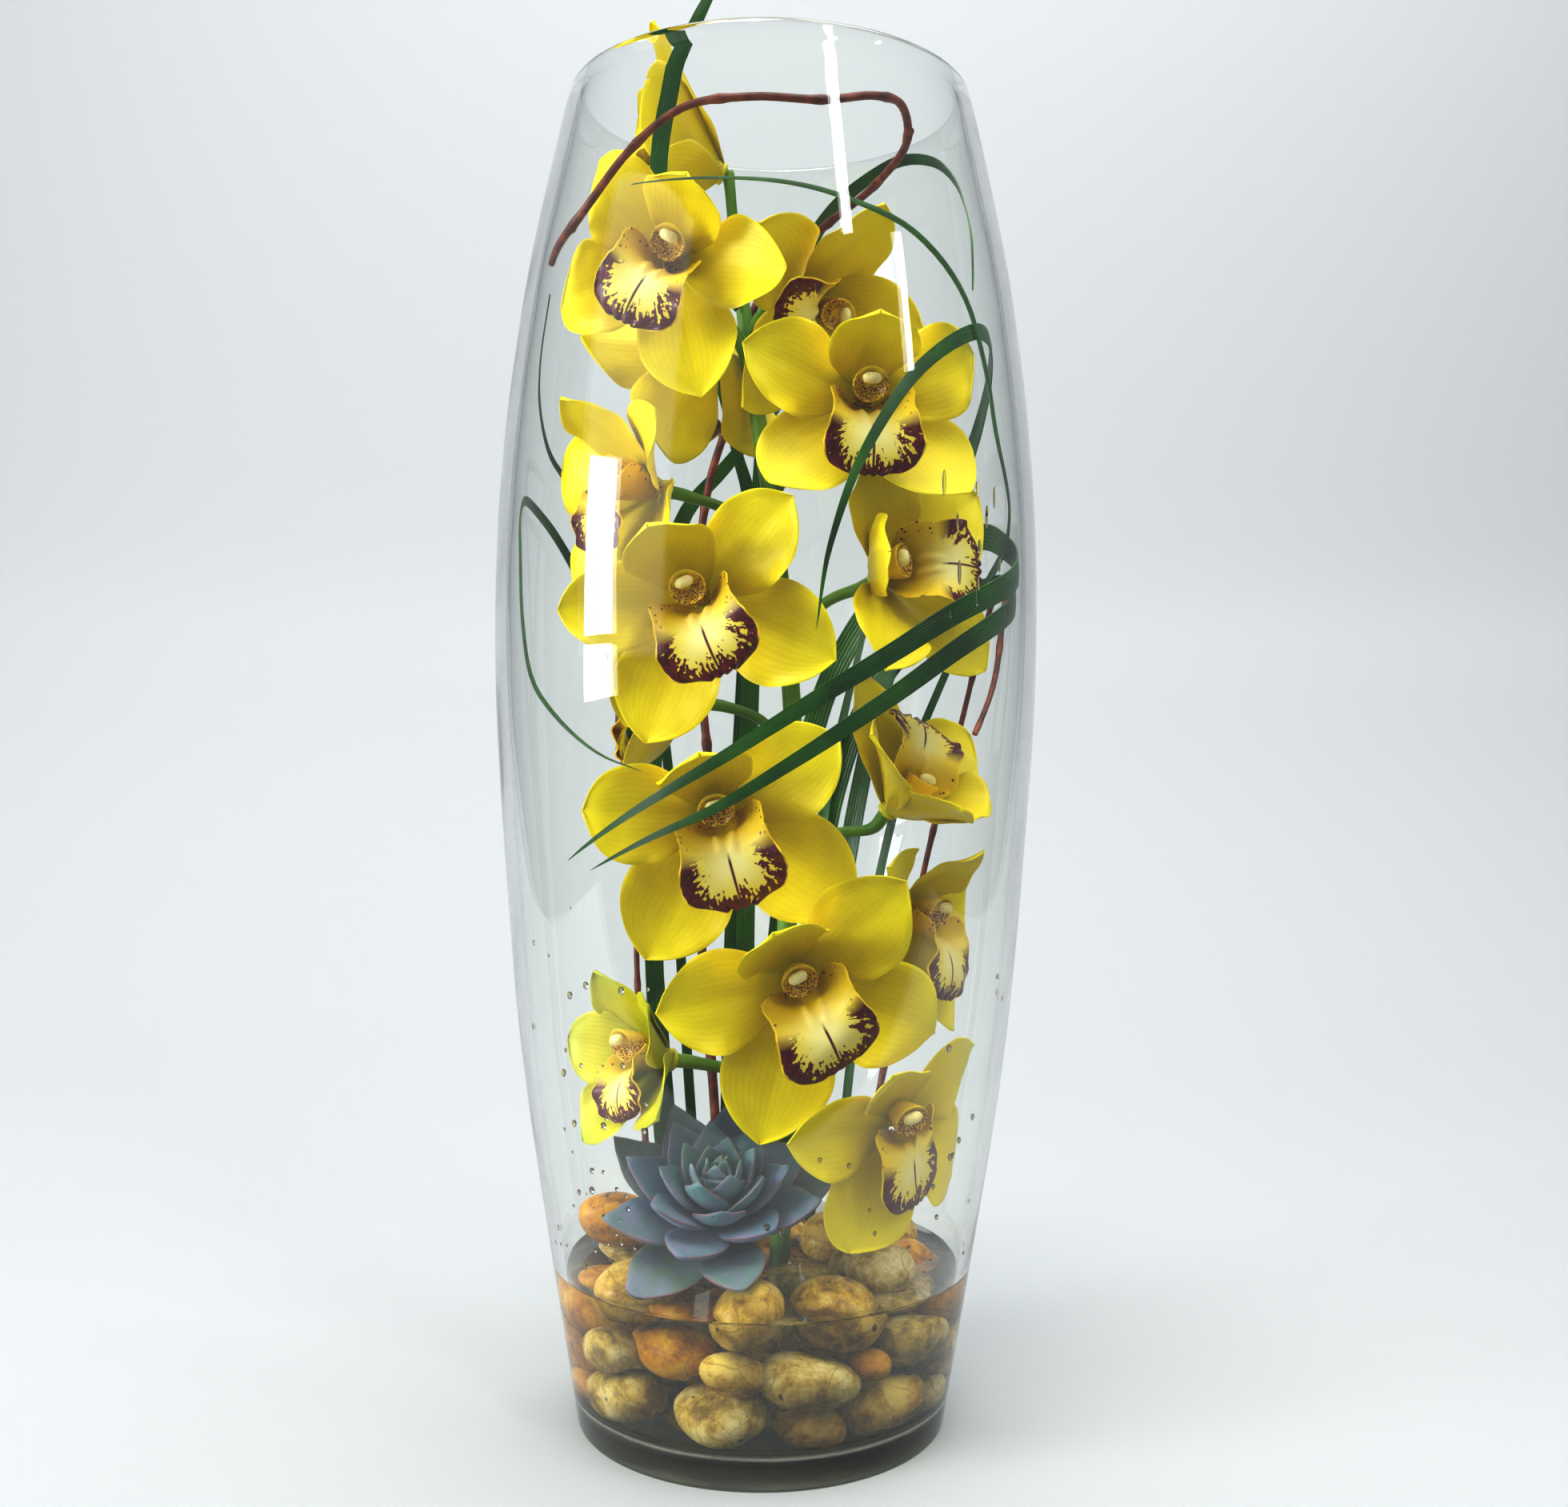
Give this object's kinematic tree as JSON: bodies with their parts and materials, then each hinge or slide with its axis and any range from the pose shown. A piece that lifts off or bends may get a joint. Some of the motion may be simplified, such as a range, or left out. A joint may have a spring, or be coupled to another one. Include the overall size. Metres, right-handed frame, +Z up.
{
  "type": "cymbidium orchid stem",
  "caption": "Arching stem of yellow cymbidium orchids with grass blades, curly willow, a succulent rosette, pebbles and water in a tall barrel-shaped clear glass vase.",
  "frame": {"origin": "centre of the vase's foot on the surface that it stands on", "axes": "+Z up along the vase's axis, -Y towards the front that the flowers face, +X to the right as seen from the front"},
  "size_m": [0.2036, 0.2036, 0.567],
  "materials": {
    "clear_glass": "clear polished glass, faintly green at the thick foot",
    "water": "clear still water",
    "yellow_petal": "waxy yellow tepals, a cream lip with a maroon border",
    "green_stalk": "smooth fresh green stem",
    "dark_green_blade": "satin dark green leaf with fine lengthwise veins",
    "willow_bark": "smooth red-brown young bark",
    "grey_green_leaf": "powdery blue-green leaf with a rose edge",
    "honey_stone": "polished honey-coloured river pebble",
    "tan_stone": "polished tan river pebble",
    "orange_stone": "polished orange river pebble",
    "brown_stone": "polished brown river pebble"
  },
  "bodies": {
    "root": {"vase": "clear_glass", "water": "water", "orchid_stem": "green_stalk", "echeveria": "grey_green_leaf", "pebble_bed": "tan_stone", "pebble_01": "honey_stone", "pebble_02": "tan_stone", "pebble_03": "honey_stone", "pebble_04": "tan_stone", "pebble_05": "brown_stone", "pebble_06": "tan_stone", "pebble_07": "orange_stone", "pebble_08": "tan_stone", "pebble_09": "honey_stone", "pebble_10": "orange_stone", "pebble_11": "tan_stone", "pebble_12": "orange_stone", "pebble_13": "orange_stone", "pebble_14": "tan_stone", "pebble_15": "honey_stone", "pebble_16": "orange_stone", "pebble_17": "brown_stone", "pebble_18": "honey_stone", "pebble_19": "brown_stone", "pebble_20": "honey_stone", "pebble_21": "brown_stone", "pebble_22": "tan_stone", "pebble_23": "tan_stone", "pebble_24": "brown_stone", "pebble_25": "orange_stone", "pebble_26": "honey_stone", "bloom_01": "yellow_petal", "bloom_02": "yellow_petal", "bloom_03": "yellow_petal", "bloom_04": "yellow_petal", "bloom_05": "yellow_petal", "bloom_06": "yellow_petal", "bloom_07": "yellow_petal", "bloom_08": "yellow_petal", "bloom_09": "yellow_petal", "bloom_10": "yellow_petal", "bloom_11": "yellow_petal", "bloom_12": "yellow_petal", "bloom_13": "yellow_petal", "bloom_14": "yellow_petal", "bloom_15": "yellow_petal", "grass_01": "dark_green_blade", "grass_02": "dark_green_blade", "grass_03": "dark_green_blade", "grass_04": "dark_green_blade", "grass_05": "dark_green_blade", "grass_06": "dark_green_blade", "grass_07": "dark_green_blade", "grass_08": "dark_green_blade", "grass_09": "dark_green_blade", "grass_10": "dark_green_blade", "grass_11": "dark_green_blade", "willow_01": "willow_bark", "willow_02": "willow_bark", "willow_03": "willow_bark"}
  },
  "joints": []
}
